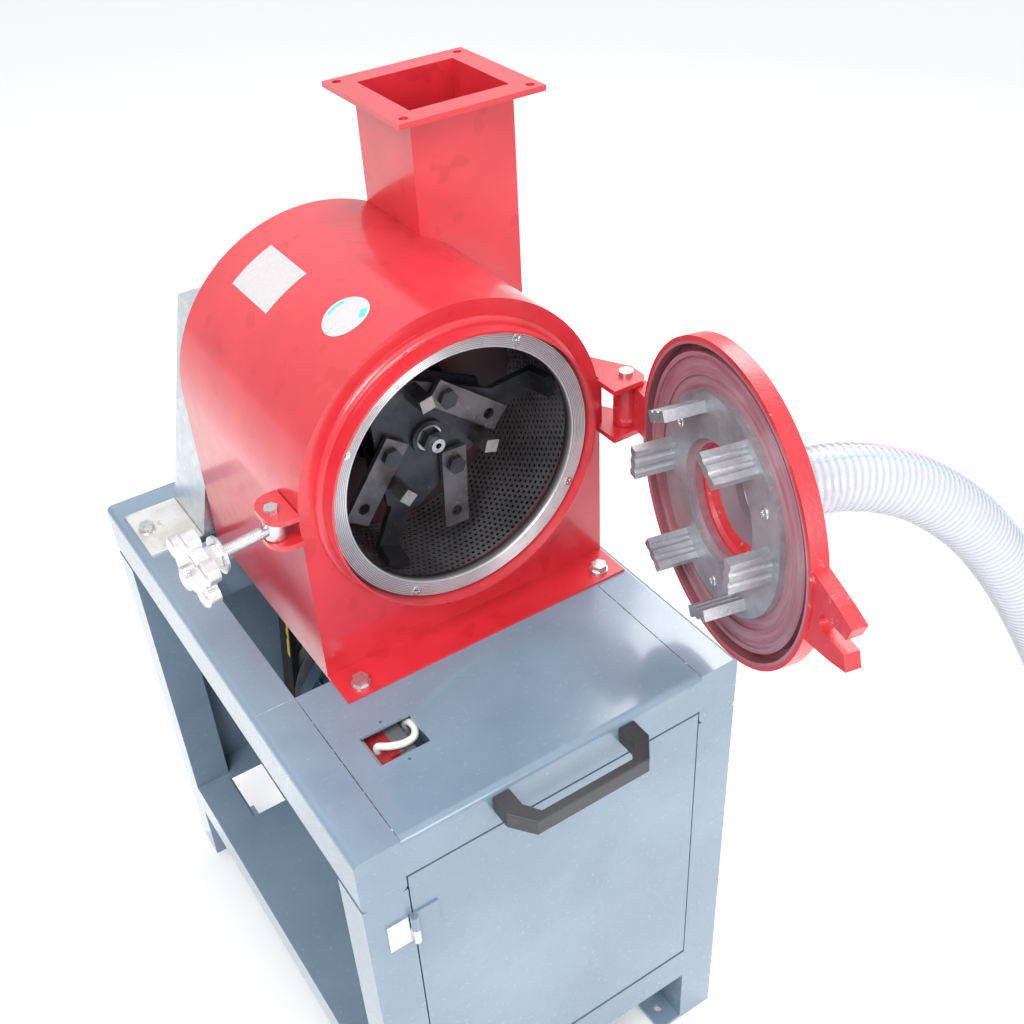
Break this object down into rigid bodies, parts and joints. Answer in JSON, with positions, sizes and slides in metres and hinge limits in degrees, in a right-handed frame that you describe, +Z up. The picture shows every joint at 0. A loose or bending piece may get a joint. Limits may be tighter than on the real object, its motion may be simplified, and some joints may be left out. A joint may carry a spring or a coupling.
{
  "type": "hammer mill",
  "caption": "Grain hammer mill: round drum with a swinging feed door, hammer rotor, screen and fan, belt driven by a motor in a steel cabinet, fed by a suction hose.",
  "frame": {"origin": "on the floor, at the middle of the four anchor holes in the cabinet's foot plates", "axes": "+Z up, +X to the right seen from the front, +Y from the cabinet's front to its back, along the rotor's axis"},
  "size_m": [1.1588, 1.8443, 1.15],
  "materials": {
    "cabinet_paint": "gloss blue-grey enamel",
    "red_enamel": "gloss red enamel",
    "red_casting": "red paint over a rough casting",
    "ring_steel": "turned, fine concentric grooves",
    "screen_steel": "perforated, dusty",
    "grey_casting": "bare, grainy",
    "dark_steel": "dark, oiled",
    "hammer_steel": "hardened, brown mill scale",
    "zinc_bolts": "zinc plated",
    "galvanised": "galvanised sheet",
    "knob_alloy": "cast, satin",
    "handle_plastic": "satin dark grey",
    "motor_paint": "blue-grey enamel",
    "belt_rubber": "matt, yellow marking",
    "cable_pvc": "white",
    "breaker_plastic": "red and grey",
    "hose_pvc": "clear, with a wire helix",
    "nozzle_plastic": "black"
  },
  "bodies": {
    "machine": {"side_rails": "cabinet_paint", "frame_rails": "cabinet_paint", "legs": "cabinet_paint", "foot_plates": "cabinet_paint", "bottom_shelf": "cabinet_paint", "top_plate": "cabinet_paint", "side_panels": "cabinet_paint", "door_hinge_leaves": "zinc_bolts", "m10_bolts": "zinc_bolts", "hinge_pin": "zinc_bolts", "clevis_bolt": "zinc_bolts", "ring_screws": "zinc_bolts", "pull_handle": "handle_plastic", "breaker": "breaker_plastic", "motor_cable": "cable_pvc", "front_plate": "red_enamel", "drum_shell": "red_enamel", "rear_plate": "red_enamel", "partition_disc": "red_enamel", "outlet_duct": "red_enamel", "outlet_flange": "red_enamel", "bolt_clevis": "red_enamel", "hinge_bracket": "red_casting", "seat_ring": "ring_steel", "screen": "screen_steel", "bearing_housing": "grey_casting", "bearings": "dark_steel", "belt_guard": "galvanised", "guard_feet": "galvanised", "motor_body": "motor_paint", "motor_end_bells": "motor_paint", "motor_fan_cowl": "motor_paint", "terminal_box": "motor_paint", "drive_belts": "belt_rubber"},
    "cabinet_door": {"cabinet_door": "cabinet_paint"},
    "mill_door": {"door_casting": "red_casting", "claw_ring": "grey_casting", "claw_screws": "zinc_bolts", "inlet_neck": "red_casting", "hose_clamp": "zinc_bolts", "hose": "hose_pvc", "suction_nozzle": "nozzle_plastic"},
    "rotor": {"rotor_shaft": "dark_steel", "rotor_plates": "dark_steel", "hub_nut": "dark_steel", "claw_pins": "dark_steel", "hammer_bolts": "dark_steel", "beater_blades": "dark_steel", "blade_bolts": "dark_steel", "fan_impeller": "dark_steel", "mill_pulley": "grey_casting"},
    "motor_rotor": {"motor_shaft": "dark_steel", "motor_pulley": "grey_casting"},
    "hammer_1": {"hammer_1": "hammer_steel"},
    "hammer_2": {"hammer_2": "hammer_steel"},
    "hammer_3": {"hammer_3": "hammer_steel"},
    "swing_bolt": {"eye_bolt": "zinc_bolts"},
    "clamp_washer": {"clamp_washer": "zinc_bolts"},
    "hand_knob": {"hand_knob": "knob_alloy"}
  },
  "joints": [
    {"name": "mill_door_hinge", "type": "hinge", "parent": "machine", "child": "mill_door", "pos_m": [0.249, -0.1177, 0.854], "axis": [0, 0, 1], "range_deg": [-77.3, 85]},
    {"name": "rotor_spin", "type": "hinge", "parent": "machine", "child": "rotor", "pos_m": [0.041, 0.1785, 0.853], "axis": [0, 1, 0], "continuous": true},
    {"name": "motor_spin", "type": "hinge", "parent": "machine", "child": "motor_rotor", "pos_m": [0.041, 0.1785, 0.287], "axis": [0, 1, 0], "continuous": true},
    {"name": "hammer_1_swing", "type": "hinge", "parent": "rotor", "child": "hammer_1", "pos_m": [0.064, -0.0485, 0.89626], "axis": [0, -1, 0], "range_deg": [0, 152]},
    {"name": "hammer_2_swing", "type": "hinge", "parent": "rotor", "child": "hammer_2", "pos_m": [-0.00797, -0.0485, 0.85129], "axis": [0, -1, 0], "range_deg": [-152, 0]},
    {"name": "hammer_3_swing", "type": "hinge", "parent": "rotor", "child": "hammer_3", "pos_m": [0.06697, -0.0485, 0.81145], "axis": [0, -1, 0], "range_deg": [-66, 86]},
    {"name": "swing_bolt_pivot", "type": "hinge", "parent": "machine", "child": "swing_bolt", "pos_m": [-0.158, -0.0905, 0.854], "axis": [0, 0, 1], "range_deg": [-70, 82.5]},
    {"name": "knob_travel", "type": "slide", "parent": "swing_bolt", "child": "clamp_washer", "axis": [0.9914, 0.1305, 0], "range_m": [-0.008, 0.0165]},
    {"name": "knob_turn", "type": "hinge", "parent": "clamp_washer", "child": "hand_knob", "pos_m": [-0.158, -0.0905, 0.854], "axis": [0.9914, 0.1305, 0], "range_deg": [-1700, 3450]},
    {"name": "cabinet_door_hinge", "type": "hinge", "parent": "machine", "child": "cabinet_door", "pos_m": [-0.181, -0.343, 0.385], "axis": [0, 0, -1], "range_deg": [0, 110]}
  ],
  "couplings": [
    {"joint": "motor_spin", "follows": "rotor_spin", "ratio": 0.49909},
    {"joint": "knob_turn", "follows": "knob_travel", "rad_per_m": 3590.4}
  ]
}
